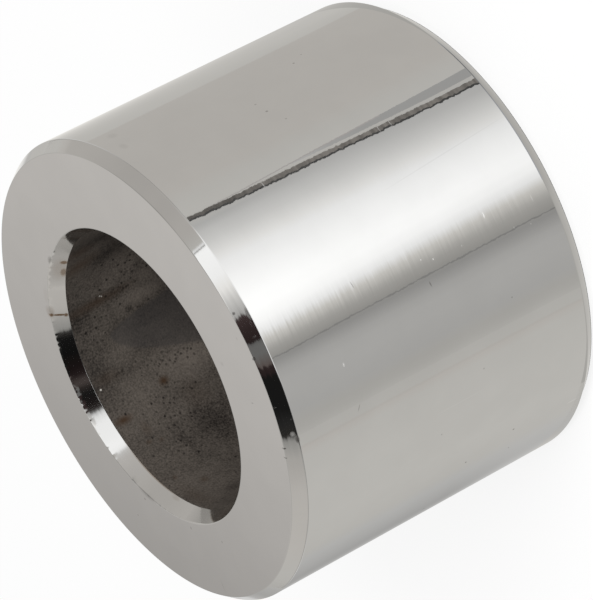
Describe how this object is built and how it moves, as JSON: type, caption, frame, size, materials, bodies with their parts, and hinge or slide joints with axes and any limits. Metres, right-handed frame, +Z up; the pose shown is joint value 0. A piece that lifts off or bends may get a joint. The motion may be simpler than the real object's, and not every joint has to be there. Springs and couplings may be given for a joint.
{
  "type": "spacer sleeve",
  "caption": "Short thick-walled round spacer sleeve with a plain through bore, bevelled outer corners and countersunk bore mouths, chrome plated outside with a bare steel bore.",
  "frame": {"origin": "centre of the lower end face, on the axis of the bore", "axes": "+Z up the bore axis, from the lower end face that the sleeve stands on to the upper end face; X and Y are free, because the sleeve is round"},
  "size_m": [0.0318, 0.0318, 0.0238],
  "materials": {
    "chrome_plate": "polished chrome plate outside, with the bore left as bare darkened steel"
  },
  "bodies": {
    "root": {"spacer_sleeve": "chrome_plate"}
  },
  "joints": []
}
